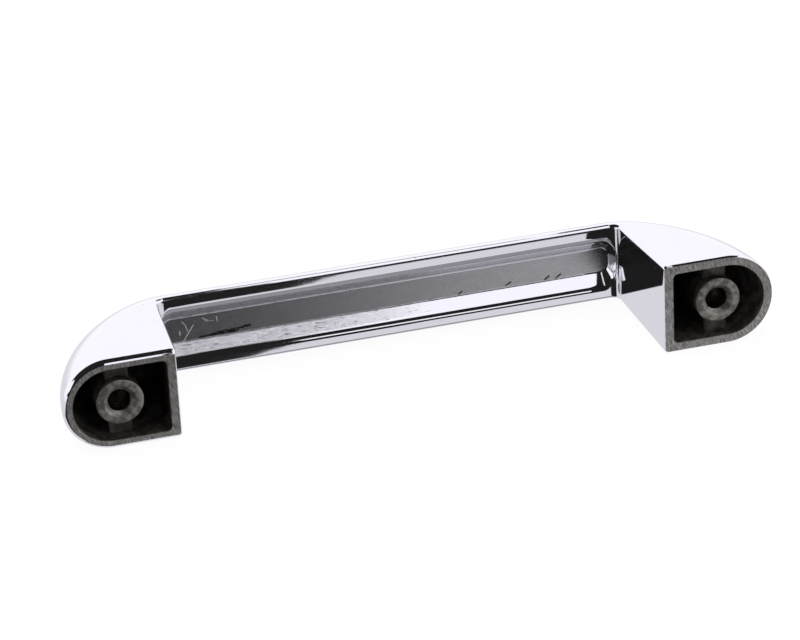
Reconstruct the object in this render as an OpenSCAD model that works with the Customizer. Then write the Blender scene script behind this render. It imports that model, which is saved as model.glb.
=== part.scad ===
// Bow handle for a drawer: one die casting with a half-round grip and two cored feet.
// X runs along the handle, the feet stand in the plane y = 0 and face +Y,
// the grip lies towards -Y, and Z runs across it. The origin is midway between the tapped holes.

/* [Fixing] */
// Distance between the two tapped holes
hole_spacing = 139.7; // [110:0.1:200]
// Core diameter of each tapped hole
tap_core_d = 5.2; // [4:0.1:6]
// Depth of each tapped hole below the boss face
tap_depth = 14; // [8:0.5:18]
// Diameter of the countersink at the boss face
countersink_d = 8; // [6.5:0.1:9]
// Diameter of the boss round each hole
boss_d = 10.8; // [9.5:0.1:12]
// How far the boss face lies below the ground rim
boss_recess = 0.9; // [0.2:0.1:2]
// Width of the webs that tie each boss to the side walls
web_w = 5.5; // [2:0.1:8]
// How far the webs lie below the ground rim
web_recess = 3; // [1.5:0.1:8]

/* [Feet] */
// From a hole's centre to the flat inner face of its foot
foot_inner = 13.2; // [11:0.1:16]
// From a hole's centre to the round outer end of its foot
foot_outer = 13.1; // [12.5:0.1:18]
// Width of each foot
foot_w = 21.9; // [20.5:0.1:26]
// Thickness of the walls round the cored hollow
wall = 2.3; // [1.5:0.1:3]
// Depth of the cored hollow
core_depth = 25; // [18:0.5:26]
// Radius inside the hollow, at its corners and round its bottom
core_r = 1.2; // [0.6:0.1:2]
// Radius that the outer edge of each foot is cast with
foot_edge_r = 1.2; // [0.5:0.1:1.6]
// Share of that radius, in degrees, that is left once the rim is ground flat
foot_edge_angle = 50; // [20:5:90]
// Radius of the upright corners beside the finger room
corner_r = 1.3; // [0.8:0.1:2]

/* [Grip] */
// From the drawer front to the crown of the grip
projection = 38.1; // [35:0.1:48]
// Clear depth for the fingers behind the grip
finger_room = 28.6; // [27.5:0.1:31]
// Width of the grip
bar_w = 18.9; // [16:0.1:20.5]
// How much each leg thickens from its foot to the grip
leg_spread = 1.7; // [0.5:0.1:4]
// Radius in the corner between leg and grip
root_r = 1.8; // [0.8:0.1:4]
// Radius along the back edges of the grip
bar_edge_r = 1; // [0.4:0.1:1.4]
// Fullness of the round shoulders, where 2 is a true ellipse
shoulder_fullness = 1.8; // [1.6:0.05:2.4]

/* [Channel] */
// Width of the channel's floor
channel_floor_w = 6.3; // [4:0.1:8]
// Width of the channel's mouth
channel_mouth_w = 12.5; // [10:0.1:14]
// Depth of the channel
channel_depth = 2.4; // [1.5:0.1:4]
// Plain rim left between the channel's mouth and the root of each leg
channel_end_rim = 0.6; // [0.5:0.1:10]
// How far the channel's end walls lean out
channel_end_lean = 0.4; // [0.2:0.1:2]
// Corner radius of the channel's floor
channel_corner_r = 1.6; // [0.5:0.1:1.9]

/* [Hidden] */

chrome = [0.80, 0.81, 0.83];

hole_x = hole_spacing / 2;
end_x = hole_x + foot_outer;
leg_x = hole_x - foot_inner;
root_x = leg_x - leg_spread;

// The root fillet touches the leaning leg face and the back plane of the grip.
leg_lean = atan(leg_spread / finger_room);
fillet_x = root_x + root_r * tan(leg_lean) - root_r / cos(leg_lean);
fillet_y = -finger_room + root_r;
leg_end_y = fillet_y - root_r * sin(leg_lean);

// The shoulder starts where the root fillet ends.
shoulder_run = end_x - fillet_x;
round_end = foot_w / 2;

// Channel
channel_x = fillet_x - channel_end_rim;
lip_depth = 0.14 * channel_depth;
floor_fillet_depth = 0.2 * channel_depth;

// Facets: arcs round an edge, steps round the crown, steps along a shoulder
edge_steps = 4;
crown_steps = 14;
shoulder_step = 5;
core_levels = 7;
bore_fn = 64;
leg_share = 60;

// How gently the drafted sides run into the parallel sides of the grip
side_blend = 0.02;

// Joins rings of equally many points into one closed solid. Each ring runs
// clockwise in the X-Z plane, and the rings follow each other towards -Y or -X.
module loft(rings) {
    count = len(rings[0]);
    last = len(rings) - 1;
    points = [for (ring = rings) each ring];
    sides = [
        for (i = [0 : last - 1], j = [0 : count - 1])
            let (k = (j + 1) % count, a = i * count, b = a + count)
            each [[a + j, b + k, b + j], [a + j, a + k, b + k]]
    ];
    start_cap = [[for (j = [count - 1 : -1 : 0]) j]];
    end_cap = [[for (j = [0 : count - 1]) last * count + j]];
    polyhedron(points = points, faces = concat(sides, start_cap, end_cap));
}

// Reach of a shoulder curve of half-axes run and drop, at depth d below the foot plane.
function reach_at(run, drop, d) =
    run * pow(max(0, 1 - pow(d / drop, shoulder_fullness)), 1 / shoulder_fullness);

// The same curve by angle, as a point from the fillet's end on the foot plane.
function curve_at(run, drop, t) =
    [fillet_x + run * pow(cos(t), 2 / shoulder_fullness), -drop * pow(sin(t), 2 / shoulder_fullness)];

// Half the width at depth y: the sides are drafted down to the grip and run smoothly into it.
function half_w(y) = (bar_w + (foot_w - bar_w) * blended(1 - abs(y) / finger_room) / blended(1)) / 2;

// Follows x while x is well above 0, and levels off smoothly to 0 below it.
function blended(x) = (x + sqrt(x * x + side_blend)) / 2;

function leg_face_x(y) = leg_x + leg_spread * y / finger_room;

// Where a ring meets the leg face, the root fillet and the back of the grip,
// with the direction from there into the metal.
function inner_at(t) =
    t <= leg_share
    ? let (y = leg_end_y * pow(sin(t) / sin(leg_share), 2 / shoulder_fullness))
      [[leg_face_x(y), y], [cos(leg_lean), -sin(leg_lean)]]
    : let (b = leg_lean + (90 - leg_lean) * (t - leg_share) / (90 - leg_share))
      [[fillet_x + root_r * cos(b), fillet_y - root_r * sin(b)], [cos(b), -sin(b)]];

// One ring round the body. p: its point on the inner side, n: direction into the metal,
// base and tip: where the crown starts and ends, r: edge radius, inset: all round,
// share: 0 where the edge ends on a flat side, and 1 where it runs on into the half-round crown.
function body_ring(p, n, base, tip, r, inset, share) =
    let (
        dip = share * asin(r / (half_w(p.y) - inset - r)),
        edge = [for (k = [0 : edge_steps])
            let (a = (90 + dip) * k / edge_steps, q = p + n * (inset + r * (1 - cos(a))))
            [q.x, q.y, (half_w(q.y) - inset - r) * cos(dip) + r * sin(a)]],
        bow = [for (k = [0 : crown_steps])
            let (
                a = (90 - 1.5 * dip) * (1 - k / crown_steps),
                q = base + (tip - [inset, 0] - base) * cos(a)
            )
            [q.x, q.y, (half_w(q.y) - inset) * sin(a)]],
        upper = concat(edge, bow),
        count = len(upper)
    )
    concat(upper, [for (k = [count - 2 : -1 : 0]) [upper[k].x, upper[k].y, -upper[k].z]]);

// Rings of one half, from the foot plane to the start of the straight grip.
foot_rings = [
    for (k = [0 : edge_steps])
        let (
            a = foot_edge_angle * (1 - k / edge_steps),
            d = foot_edge_r * (sin(foot_edge_angle) - sin(a)),
            inset = foot_edge_r * (1 - cos(a))
        )
        body_ring([leg_face_x(-d), -d], [1, 0],
            [fillet_x + reach_at(shoulder_run - round_end, finger_room, d), -d],
            [fillet_x + reach_at(shoulder_run, projection, d), -d],
            max(corner_r - inset, 0.1), inset, 0)
];
shoulder_rings = [
    for (t = [shoulder_step : shoulder_step : 90])
        let (
            inner = inner_at(t),
            share = max(0, (t - leg_share) / (90 - leg_share)),
            r = corner_r + (bar_edge_r - corner_r) * share
        )
        body_ring(inner[0], inner[1],
            curve_at(shoulder_run - round_end, finger_room, t),
            curve_at(shoulder_run, projection, t),
            r, 0, share)
];
half_rings = concat(foot_rings, shoulder_rings);

function mirrored(ring) = [for (q = ring) [-q.x, q.y, q.z]];

// The whole outer form, swept from one foot to the other.
module bow() {
    last = len(half_rings) - 1;
    loft(concat(half_rings, [for (i = [last : -1 : 0]) mirrored(half_rings[i])]));
}

// Half-size of the channel at depth d: mouth and floor are its half-sizes there,
// and lip and floor are rounded into the sloping wall.
function channel_half(mouth, floor, d) =
    let (
        slope = atan(channel_depth / (mouth - floor)),
        lip_r = lip_depth / (1 - cos(slope)),
        floor_r = floor_fillet_depth / (1 - cos(slope)),
        up = channel_depth - d
    )
    d <= lip_depth
    ? mouth + lip_r * (tan(slope / 2) - sin(acos(1 - max(0, d) / lip_r)))
    : up >= floor_fillet_depth
    ? mouth - d / tan(slope)
    : floor - floor_r * (tan(slope / 2) - sin(acos(1 - up / floor_r)));

// Rounded rectangle in the plane y, with elliptical corners.
function channel_ring(y, long, wide, corner_long, corner_wide) =
    [for (c = [0 : 3], k = [0 : edge_steps + 2])
        let (a = -90 * (c + k / (edge_steps + 2)), middle = -90 * c - 45)
        [sign(cos(middle)) * (long - corner_long) + corner_long * cos(a),
         y,
         sign(sin(middle)) * (wide - corner_wide) + corner_wide * sin(a)]];

channel_depths = concat(
    [-1],
    [for (k = [0 : 3]) lip_depth * pow(k / 3, 2)],
    [for (k = [3 : -1 : 0]) channel_depth - floor_fillet_depth * pow(k / 3, 2)]
);

// The core that leaves the channel along the back of the grip.
module channel_core() {
    loft([for (d = channel_depths)
        let (
            long = channel_half(channel_x, channel_x - channel_end_lean, d),
            wide = channel_half(channel_mouth_w / 2, channel_floor_w / 2, d),
            corner_wide = channel_corner_r + wide - channel_floor_w / 2,
            corner_long = channel_corner_r + long - channel_x + channel_end_lean
        )
        channel_ring(-finger_room - d, long, wide, max(0.3, corner_long), max(0.3, corner_wide))
    ]);
}

// One ring of the hollow in a foot, at depth d and drawn in by inset.
function core_ring(y, inset) =
    let (
        d = max(0, -y),
        side = half_w(d) - wall - inset,
        near = leg_face_x(-d) + wall + inset,
        base = fillet_x + reach_at(shoulder_run - round_end, finger_room, d),
        far = fillet_x + reach_at(shoulder_run - wall, projection - wall, d) - inset,
        r = max(0.3, core_r - inset),
        corner = [for (k = [0 : edge_steps])
            let (a = 90 * k / edge_steps)
            [near + r * (1 - cos(a)), y, side - r * (1 - sin(a))]],
        bow = [for (k = [0 : crown_steps])
            let (a = 90 * (1 - k / crown_steps))
            [base + (far - base) * cos(a), y, side * sin(a)]],
        upper = concat(corner, bow),
        count = len(upper)
    )
    concat(upper, [for (k = [count - 2 : -1 : 0]) [upper[k].x, upper[k].y, -upper[k].z]]);

core_stack = concat(
    [core_ring(1, 0)],
    [for (k = [0 : core_levels]) core_ring(-(core_depth - core_r) * k / core_levels, 0)],
    [for (a = [30, 60, 90])
        core_ring(-core_depth + core_r * (1 - sin(a)), core_r * (1 - cos(a)))]
);

module along_y(y0, y1, r0, r1) {
    translate([hole_x, y0, 0])
        rotate([90, 0, 0])
            cylinder(h = y0 - y1, r1 = r0, r2 = r1, $fn = bore_fn);
}

// The core of one foot, which leaves its boss and webs standing.
module foot_core() {
    difference() {
        loft(core_stack);
        along_y(-boss_recess, -core_depth - 1, boss_d / 2, boss_d / 2);
        translate([hole_x - web_w / 2, -core_depth - 1, -foot_w / 2])
            cube([web_w, core_depth + 1 - web_recess, foot_w]);
    }
}

// Blind tapped hole with its countersink and the drill's point.
module tapped_hole() {
    sink = (countersink_d - tap_core_d) / 2;
    point = tap_core_d / 2 / tan(59);
    bottom = -boss_recess - tap_depth;
    along_y(1, bottom, tap_core_d / 2, tap_core_d / 2);
    along_y(0, -boss_recess - sink, countersink_d / 2 + boss_recess, tap_core_d / 2);
    along_y(bottom, bottom - point, tap_core_d / 2, 0);
}

module handle() {
    color(chrome)
        difference() {
            bow();
            channel_core();
            foot_core();
            mirror([1, 0, 0]) foot_core();
            tapped_hole();
            mirror([1, 0, 0]) tapped_hole();
        }
}

handle();
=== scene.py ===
"""Chrome-plated drawer handle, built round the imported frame.

The casting is one swept form with a channel along its back and two cored feet, and Geometry Nodes wind
its threads. Lengths are in metres. X runs along the handle, the feet face +Y, and Z runs across it.
"""

import math

import bmesh
import bpy
from bpy.props import FloatProperty, FloatVectorProperty, IntProperty, PointerProperty
from mathutils import Matrix, Vector


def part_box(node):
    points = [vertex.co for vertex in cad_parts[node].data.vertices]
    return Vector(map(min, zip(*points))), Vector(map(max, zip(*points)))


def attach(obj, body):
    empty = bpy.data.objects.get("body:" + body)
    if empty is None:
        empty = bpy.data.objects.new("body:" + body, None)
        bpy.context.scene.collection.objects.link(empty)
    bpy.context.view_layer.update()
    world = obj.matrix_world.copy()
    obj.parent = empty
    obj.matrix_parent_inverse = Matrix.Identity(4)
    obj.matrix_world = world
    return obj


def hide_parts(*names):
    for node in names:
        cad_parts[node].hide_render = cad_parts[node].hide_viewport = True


bl_info = {
    "name": "Drawer Handle",
    "version": (1, 0, 0),
    "blender": (4, 5, 0),
    "location": "View3D > Sidebar > Handle",
    "description": "Builds a die-cast, chrome-plated drawer handle and the stage it is shown on",
    "category": "Add Mesh",
}

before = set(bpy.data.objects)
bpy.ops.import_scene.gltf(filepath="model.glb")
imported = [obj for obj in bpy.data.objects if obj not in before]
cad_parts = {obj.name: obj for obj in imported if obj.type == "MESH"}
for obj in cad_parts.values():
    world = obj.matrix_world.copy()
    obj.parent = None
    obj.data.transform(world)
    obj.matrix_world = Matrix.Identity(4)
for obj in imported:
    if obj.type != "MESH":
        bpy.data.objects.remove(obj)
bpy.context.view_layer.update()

MM = 0.001
NODE = "handle"
BODY = "root"
HANDLE_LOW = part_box(NODE)[0]


def linear(code, alpha=1.0):
    """Turns an sRGB hex colour into Blender's linear values."""
    channels = [int(code[i : i + 2], 16) / 255 for i in (1, 3, 5)]
    return (*[c / 12.92 if c <= 0.04045 else ((c + 0.055) / 1.055) ** 2.4 for c in channels], alpha)


def length(name, mm, words):
    """A size that is given here in millimetres and kept in metres."""
    return FloatProperty(name=name, description=words, default=mm * MM, unit="LENGTH", precision=5)


def angle(name, degrees, words):
    """An angle that is given here in degrees."""
    return FloatProperty(name=name, description=words, default=math.radians(degrees), subtype="ANGLE")


def colour(name, code, words):
    """A colour that is given here as sRGB hex."""
    return FloatVectorProperty(name=name, description=words, default=linear(code), size=4, subtype="COLOR")


class HANDLE_PG_sizes(bpy.types.PropertyGroup):
    """Sizes of the casting."""

    hole_spacing: length("Hole spacing", 139.7, "Distance between the two tapped holes")
    foot_inner: length("Foot, inner", 13.2, "From a hole's centre to the flat inner face of its foot")
    foot_outer: length("Foot, outer", 13.09, "From a hole's centre to the round outer end of its foot")
    foot_w: length("Foot width", 21.88, "Width of each foot")
    foot_edge_r: length("Foot edge radius", 1.75, "Radius that the outer edge of each foot is cast with")
    corner_r: length("Corner radius", 0.9, "Radius of the upright corners beside the finger room")
    wall: length("Wall", 2.3, "Thickness of the walls round the cored hollow")
    core_depth: length("Core depth", 25.0, "Depth of the cored hollow")
    core_r: length("Core radius", 1.2, "Radius inside the hollow, at its corners and round its bottom")
    core_lip_r: length("Core lip radius", 0.15, "Radius where the hollow meets the ground rim")
    projection: length("Projection", 38.1, "From the drawer front to the crown of the grip")
    finger_room: length("Finger room", 28.6, "Clear depth for the fingers behind the grip")
    bar_w: length("Grip width", 18.9, "Width of the grip")
    bar_edge_r: length("Grip edge radius", 1.0, "Radius along the back edges of the grip")
    leg_spread: length("Leg spread", 1.7, "How much each leg thickens from its foot to the grip")
    root_r: length("Root radius", 1.8, "Radius in the corner between leg and grip")
    channel_floor_w: length("Channel floor", 6.3, "Width of the channel's floor")
    channel_mouth_w: length("Channel mouth", 12.5, "Width of the channel's mouth")
    channel_depth: length("Channel depth", 2.4, "Depth of the channel")
    channel_end_rim: length("Channel end rim", -1.5, "From the channel's mouth to each root, or past it")
    channel_end_lean: length("Channel end lean", 1.2, "How far the channel's end walls lean out")
    channel_lip: length("Channel lip", 0.6, "Height of the rounding above the channel's long walls")
    channel_fillet: length("Channel fillet", 0.17, "Height of the rounding round the channel's floor")
    channel_corner_r: length("Channel corner", 2.0, "Corner radius of the channel's floor")
    boss_d: length("Boss", 10.8, "Diameter of the boss round each hole")
    boss_edge_r: length("Boss edge radius", 0.35, "Radius round the top of each boss")
    boss_recess: length("Boss recess", 0.9, "How far the boss face lies below the rim")
    web_w: length("Web width", 5.5, "Width of the webs beside each boss")
    web_recess: length("Web recess", 3.0, "How far the webs lie below the rim")
    countersink_d: length("Countersink", 7.4, "Diameter of the countersink at the boss face")
    tap_depth: length("Tap depth", 14.0, "Depth of each tapped hole below the boss face")
    plus_edge: angle("Edge, +X foot", 62, "Turn of the edge radius that grinding left on the +X foot")
    minus_edge: angle("Edge, -X foot", 32, "Turn of the edge radius that grinding left on the -X foot")
    fullness: FloatProperty(
        name="Shoulder fullness", description="Fullness of the round shoulders, where 2 is a true ellipse",
        default=1.8, min=1.6, max=2.4,
    )


class HANDLE_PG_thread(bpy.types.PropertyGroup):
    """Sizes of the internal thread."""

    major_d: length("Major diameter", 6.35, "Diameter at the bottom of the thread's grooves")
    core_d: length("Core diameter", 5.2, "Diameter over the crests of the internal thread")
    pitch: length("Pitch", 1.27, "Distance from one crest to the next")
    crest_w: length("Crest width", 0.3, "Width of the flat on each crest")
    root_w: length("Root width", 1.12, "Width of the ridge where it leaves the bore")
    steps: IntProperty(
        name="Steps per turn", description="Points in each turn of the thread", default=48, min=12,
    )


class HANDLE_PG_finish(bpy.types.PropertyGroup):
    """Colours of the finishes and of the stage."""

    chrome: colour("Chrome", "#EBEAEE", "Bright chrome plate")
    satin: colour("Satin floor", "#EEEEF0", "Satin plate on the channel's floor")
    ground: colour("Ground rim", "#E2DED8", "Bare zinc left by the grinding belt")
    cast: colour("Cast hollow", "#625B56", "Dark film in the cored hollows")
    boss: colour("Boss face", "#BDB9B0", "Faced zinc of the bosses, and cut zinc of the thread")
    grime: colour("Grime", "#2A2826", "Grime in the gouges and nicks of the channel's floor")
    backdrop: colour("Backdrop", "#FFFFFF", "Paper and wall behind the handle")
    paper: colour("Floor", "#F4F4F6", "Paper that the handle lies on")
    glare: colour("Glare", "#FAF9FF", "The white room as the chrome reflects it")
    black_cloth: colour("Black cloth", "#232222", "Cloths that the chrome reflects")
    # Painted shade: a grey card below the handle that the chrome reflects, standing in for the paper in the
    # handle's shade.
    grey_cloth: colour("Grey cloth", "#96969A", "Cloth below the handle that the chrome reflects")


# How softly the drafted sides run into the grip's parallel ones, where 0 would be a sharp bend.
SIDE_BLEND = 0.02


def half_width(s, y):
    """Half the handle's width at depth y. The drafted sides of the feet run smoothly into the grip."""
    rest = 1 - abs(y) / s.finger_room
    share = (rest + math.sqrt(rest * rest + SIDE_BLEND)) / (1 + math.sqrt(1 + SIDE_BLEND))
    return (s.bar_w + (s.foot_w - s.bar_w) * share) / 2


class Layout:
    """Places that follow from the sizes."""

    def __init__(self, s):
        self.hole_x = s.hole_spacing / 2
        self.leg_x = self.hole_x - s.foot_inner
        self.root_x = self.leg_x - s.leg_spread
        self.lean = math.atan(s.leg_spread / s.finger_room)
        self.fillet_x = self.root_x + s.root_r * math.tan(self.lean) - s.root_r / math.cos(self.lean)
        self.fillet_y = -s.finger_room + s.root_r
        self.leg_end_y = self.fillet_y - s.root_r * math.sin(self.lean)
        self.run = self.hole_x + s.foot_outer - self.fillet_x
        self.side_run = self.run - s.foot_w / 2
        self.channel_x = self.fillet_x - s.channel_end_rim


def power(value, exponent):
    """A power that takes what rounding brings just below 0 as 0."""
    return max(0.0, value) ** exponent


def reach_at(s, run, drop, depth):
    """How far a shoulder curve of half-axes run and drop reaches out at a depth."""
    return run * power(1 - power(depth / drop, s.fullness), 1 / s.fullness)


def curve_at(s, at, run, drop, t):
    """The point of the same curve at an angle, from 0 at the feet to a quarter turn at the crown."""
    e = 2 / s.fullness
    return Vector((at.fillet_x + run * power(math.cos(t), e), -drop * power(math.sin(t), e)))


def leg_face_x(s, at, y):
    """Where the flat inner face of the +X leg stands at y."""
    return at.leg_x + s.leg_spread * y / s.finger_room


# The angle at which the sections pass from the leg's inner face to the root's radius.
LEG_SHARE = math.radians(60)


def inner_at(s, at, t):
    """Where a section meets the leg face or the root fillet, and the direction into the metal there."""
    if t <= LEG_SHARE:
        y = at.leg_end_y * power(math.sin(t) / math.sin(LEG_SHARE), 2 / s.fullness)
        return Vector((leg_face_x(s, at, y), y)), Vector((math.cos(at.lean), -math.sin(at.lean)))
    quarter = math.pi / 2
    b = at.lean + (quarter - at.lean) * (t - LEG_SHARE) / (quarter - LEG_SHARE)
    inward = Vector((math.cos(b), -math.sin(b)))
    return Vector((at.fillet_x, at.fillet_y)) + s.root_r * inward, inward


# Steps along a section's back edge, its flat side and half its crown.
EDGE_STEPS, SIDE_STEPS, CROWN_STEPS = 8, 6, 36
# How much of a rim section's inset its inner face and its corner radius take.
INNER_INSET, CORNER_INSET = 0.35, 0.5


def section(s, p, inward, base, tip, r, inset, share):
    """One closed section: back edge, flat side and crown, and the same mirrored in Z.

    share is 0 on a leg, where the edge radius ends on the flat side, and 1 on the grip, where it
    runs on into the half-round crown. The inner face of a foot is inset less than its outside.
    """
    spare = half_width(s, p.y) - inset - r
    dip = share * math.asin(r / spare)
    sweep = math.pi / 2 + dip
    upper = []
    for k in range(EDGE_STEPS + 1):
        a = sweep * k / EDGE_STEPS
        q = p + inward * (inset * INNER_INSET + r * (1 - math.cos(a)))
        centre = (half_width(s, q.y) - inset - r) * math.cos(dip)
        upper.append(Vector((q.x, q.y, centre + r * math.sin(a))))
    start = upper[-1].xy
    reach = tip - Vector((inset, 0)) - base
    end = base + reach * math.sin(dip)
    for k in range(1, SIDE_STEPS):
        q = start.lerp(end, k / SIDE_STEPS)
        upper.append(Vector((q.x, q.y, (half_width(s, q.y) - inset) * math.cos(dip))))
    for k in range(CROWN_STEPS + 1):
        a = (math.pi / 2 - dip) * (1 - k / CROWN_STEPS)
        q = base + reach * math.cos(a)
        upper.append(Vector((q.x, q.y, (half_width(s, q.y) - inset) * math.sin(a))))
    upper[-1].z = 0
    return upper + [Vector((v.x, v.y, -v.z)) for v in reversed(upper[:-1])]


# Sections round the rim's edge radius, over a shoulder up to the crown, and along the straight grip.
RIM_STEPS = 8
SHOULDER_ANGLES = [math.radians(4.5 + 1.5 * k) for k in range(58)]
GRIP_PARTS = 8


def half_sections(s, at, ground):
    """Sections of the +X half, from its rim to where the straight grip starts."""
    half = []
    for k in range(RIM_STEPS + 1):
        a = ground * (1 - k / RIM_STEPS)
        inset = s.foot_edge_r * (1 - math.cos(a))
        d = s.foot_edge_r * (math.sin(ground) - math.sin(a))
        half.append(section(
            s, Vector((leg_face_x(s, at, -d), -d)), Vector((1, 0)),
            Vector((at.fillet_x + reach_at(s, at.side_run, s.finger_room, d), -d)),
            Vector((at.fillet_x + reach_at(s, at.run, s.projection, d), -d)),
            s.corner_r - CORNER_INSET * inset, inset, 0,
        ))
    for t in SHOULDER_ANGLES:
        p, inward = inner_at(s, at, t)
        share = max(0.0, (t - LEG_SHARE) / (math.pi / 2 - LEG_SHARE))
        half.append(section(
            s, p, inward, curve_at(s, at, at.side_run, s.finger_room, t),
            curve_at(s, at, at.run, s.projection, t),
            s.corner_r + (s.bar_edge_r - s.corner_r) * share, 0, share,
        ))
    return half


def sections(s, at):
    """All sections, from the rim of one foot along the grip to the rim of the other."""
    half = half_sections(s, at, s.plus_edge)
    grip = [[Vector((v.x * (1 - 2 * k / GRIP_PARTS), v.y, v.z)) for v in half[-1]]
            for k in range(1, GRIP_PARTS)]
    mirrored = [[Vector((-v.x, v.y, v.z)) for v in ring] for ring in half_sections(s, at, s.minus_edge)]
    return half, grip, mirrored[::-1]


def channel_half(s, mouth, floor, d, lip, fillet):
    """Half-size of the channel at depth d, where lip and fillet are the heights of its roundings."""
    slope = math.atan(s.channel_depth / (mouth - floor))
    lip_r, floor_r = (h / (1 - math.cos(slope)) for h in (lip, fillet))
    up = s.channel_depth - d
    if d <= lip:
        return mouth + lip_r * (math.tan(slope / 2) - math.sin(math.acos(1 - d / lip_r)))
    if up >= fillet:
        return mouth - d / math.tan(slope)
    return floor - floor_r * (math.tan(slope / 2) - math.sin(math.acos(1 - up / floor_r)))


# Steps down the channel's lip, down to its floor and round each corner.
LIP_STEPS, FILLET_STEPS, CORNER_STEPS = 12, 5, 12
# Height of the rounding at the channel's ends, and the least radius of its corners.
END_LIP, LEAST_CORNER = 0.06 * MM, 0.3 * MM
# How far above the mouth the tool's first edge lies, how much wider it is there, and how many root
# radii its top lies above the mouth.
MOUTH_OVER, MOUTH_CLEAR, TOP_ROOTS = 0.004 * MM, 0.05 * MM, 1.4
QUADRANTS = [(1, 1), (-1, 1), (-1, -1), (1, -1)]


def channel_loops(s, at):
    """Rounded rectangles of the tool that cuts the channel, from above its mouth down to its floor."""
    lip, fillet = s.channel_lip, s.channel_fillet
    depths = [(lip + MOUTH_OVER) * (k / LIP_STEPS) ** 2 - MOUTH_OVER for k in range(LIP_STEPS + 1)]
    depths += [s.channel_depth - fillet * (k / FILLET_STEPS) ** 2 for k in range(FILLET_STEPS, -1, -1)]
    loops = []
    for d in [-s.root_r * TOP_ROOTS] + depths:
        deep = max(d, 0.0)
        long = channel_half(s, at.channel_x, at.channel_x - s.channel_end_lean, deep, END_LIP, fillet)
        wide = channel_half(s, s.channel_mouth_w / 2, s.channel_floor_w / 2, deep, lip, fillet)
        if d < 0:
            wide += MOUTH_CLEAR
        corner_long = max(s.channel_corner_r + long - at.channel_x + s.channel_end_lean, LEAST_CORNER)
        corner_wide = max(s.channel_corner_r + wide - s.channel_floor_w / 2, LEAST_CORNER)
        loop = []
        for c, (sx, sz) in enumerate(QUADRANTS):
            for k in range(CORNER_STEPS + 1):
                a = math.pi / 2 * (c + k / CORNER_STEPS)
                loop.append(Vector((
                    sx * (long - corner_long) + corner_long * math.cos(a), -s.finger_room - d,
                    sz * (wide - corner_wide) + corner_wide * math.sin(a),
                )))
        loops.append(loop)
    return loops


# How far above the rim the hollow's tool starts, and the least radius of its corners.
CORE_OVER, LEAST_CORE_R = 1 * MM, 0.2 * MM
# Steps round the hollow's lip, down its walls and round its bottom.
CORE_LIP_STEPS, CORE_WALL_STEPS, CORE_BOTTOM_STEPS = 3, 10, 6


def quarter_turn(steps):
    """Angles from 0 to a quarter turn."""
    return [math.pi / 2 * k / steps for k in range(steps + 1)]


def core_loops(s, at):
    """Sections of the hollow in the foot on the +X side, from the rim down to its bottom."""
    levels = [(-CORE_OVER, -s.core_lip_r)]
    levels += [(s.core_lip_r * (1 - math.cos(a)), s.core_lip_r * (math.sin(a) - 1))
               for a in quarter_turn(CORE_LIP_STEPS)]
    straight = s.core_depth - s.core_r
    levels += [(s.core_lip_r + (straight - s.core_lip_r) * k / CORE_WALL_STEPS, 0.0)
               for k in range(1, CORE_WALL_STEPS + 1)]
    levels += [(straight + s.core_r * math.sin(a), s.core_r * (1 - math.cos(a)))
               for a in quarter_turn(CORE_BOTTOM_STEPS)[1:]]
    loops = []
    for d, inset in levels:
        deep = max(0.0, d)
        side = half_width(s, deep) - s.wall - inset
        near = leg_face_x(s, at, -deep) + s.wall + inset
        base = at.fillet_x + reach_at(s, at.side_run, s.finger_room, deep)
        far = at.fillet_x + reach_at(s, at.run - s.wall, s.projection - s.wall, deep) - inset
        r = max(s.core_r - inset, LEAST_CORE_R)
        upper = [Vector((near + r * (1 - math.cos(a)), -d, side - r * (1 - math.sin(a))))
                 for a in quarter_turn(EDGE_STEPS)]
        upper += [Vector((base + (far - base) * math.cos(a), -d, side * math.sin(a)))
                  for a in (math.pi / 2 * (1 - k / CROWN_STEPS) for k in range(CROWN_STEPS + 1))]
        upper[-1].z = 0
        loops.append(upper + [Vector((v.x, v.y, -v.z)) for v in reversed(upper[:-1])])
    return loops


FINISHES = [
    "polished_chrome", "satin_floor", "channel_wall", "ground_rim", "cast_hollow", "boss_face", "tapped_bore",
]


def finish_index(name):
    """The slot that a finish has on every piece."""
    return FINISHES.index(name)


def loft(bm, loops, finish, open_edge=None):
    """Joins loops of equally many vertices with quads, save the last one where open_edge(i) holds."""
    for i, (a, b) in enumerate(zip(loops, loops[1:])):
        count = len(a)
        for j in range(count):
            if j == count - 1 and open_edge and open_edge(i):
                continue
            k = (j + 1) % count
            face = bm.faces.new((a[j], a[k], b[k], b[j]))
            face.material_index = finish_index(finish)


def fill(bm, loop, finish):
    """Fills a flat loop."""
    edges = [bm.edges.get((v, w)) or bm.edges.new((v, w)) for v, w in zip(loop, loop[1:] + loop[:1])]
    made = bmesh.ops.triangle_fill(bm, edges=edges, use_beauty=True, use_dissolve=False)["geom"]
    for item in made:
        if isinstance(item, bmesh.types.BMFace):
            item.material_index = finish_index(finish)


def cast_form(s, at):
    """The closed outer form, before the channel and the feet are cut out of it."""
    bm = bmesh.new()
    half, grip, other = sections(s, at)
    rings = [[bm.verts.new(v) for v in ring] for ring in half + grip + other]
    first, last = len(half) - 1, len(half) + len(grip) - 1
    loft(bm, rings, "polished_chrome", open_edge=lambda i: first <= i <= last)

    straight = rings[first : last + 2]
    back = [ring[0] for ring in straight] + [ring[-1] for ring in reversed(straight)]
    fill(bm, back, "polished_chrome")
    for rim in (rings[0], rings[-1]):
        fill(bm, rim, "ground_rim")
    return tidied(bm)


# Vertices nearer to each other than this are merged.
MERGE = 0.0005 * MM


def tidied(bm):
    """Merges the vertices that share a place and turns all faces outwards."""
    bmesh.ops.remove_doubles(bm, verts=bm.verts, dist=MERGE)
    bmesh.ops.recalc_face_normals(bm, faces=bm.faces)
    return bm


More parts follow.
